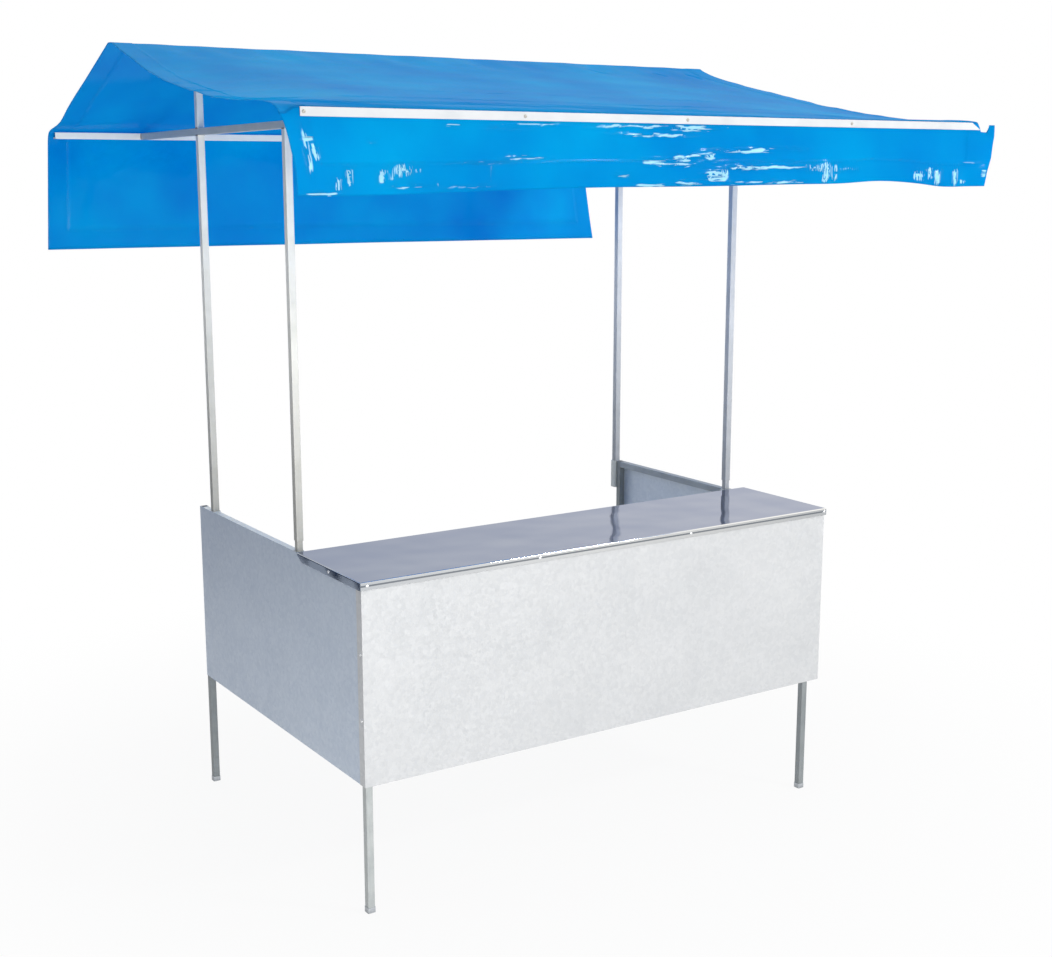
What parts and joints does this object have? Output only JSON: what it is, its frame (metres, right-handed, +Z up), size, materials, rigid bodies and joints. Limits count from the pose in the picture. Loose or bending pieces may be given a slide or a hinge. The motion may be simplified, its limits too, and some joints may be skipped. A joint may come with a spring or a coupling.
{
  "type": "market stall",
  "caption": "Knock-down market stall: sheet-metal counter box on tube legs, socketed posts and a light roof frame under one tarp.",
  "frame": {"origin": "on the ground under the middle of the roof", "axes": "+X along the counter to the right as a customer sees it, +Y from the customers' side to the seller's side, +Z up"},
  "size_m": [2.066, 1.6646, 2.1388],
  "materials": {
    "galvanised_sheet": "dull galvanised sheet with a fine spangle",
    "galvanised_tube": "galvanised square tube, satin",
    "polished_sheet": "polished stainless sheet",
    "white_bar": "white painted flat bar",
    "foot_cap": "dull grey pressed cap",
    "tarp": "glossy blue coated tarpaulin"
  },
  "bodies": {
    "root": {"front_panel": "galvanised_sheet", "left_panel": "galvanised_sheet", "right_panel": "galvanised_sheet", "front_left_leg": "galvanised_tube", "front_right_leg": "galvanised_tube", "back_left_leg": "galvanised_tube", "back_right_leg": "galvanised_tube", "front_left_foot": "foot_cap", "front_right_foot": "foot_cap", "back_left_foot": "foot_cap", "back_right_foot": "foot_cap", "front_top_rail": "galvanised_tube", "front_bottom_rail": "galvanised_tube", "left_bottom_rail": "galvanised_tube", "right_bottom_rail": "galvanised_tube", "left_top_rail_front": "galvanised_tube", "left_top_rail_middle": "galvanised_tube", "left_top_rail_back": "galvanised_tube", "right_top_rail_front": "galvanised_tube", "right_top_rail_middle": "galvanised_tube", "counter_back_rail": "galvanised_tube", "counter_top": "polished_sheet", "front_left_socket": "galvanised_tube", "front_right_socket": "galvanised_tube", "back_left_socket": "galvanised_tube", "back_right_socket": "galvanised_tube", "front_left_post": "galvanised_tube", "front_right_post": "galvanised_tube", "back_left_post": "galvanised_tube", "back_right_post": "galvanised_tube", "left_arm": "galvanised_tube", "right_arm": "galvanised_tube", "left_king_post": "galvanised_tube", "right_king_post": "galvanised_tube", "ridge_bar": "galvanised_tube", "front_eave_bar": "galvanised_tube", "back_eave_bar": "galvanised_tube", "front_batten": "white_bar", "tarp_front_slope": "tarp", "tarp_back_slope": "tarp", "tarp_front_valance": "tarp", "tarp_back_valance": "tarp"}
  },
  "joints": []
}
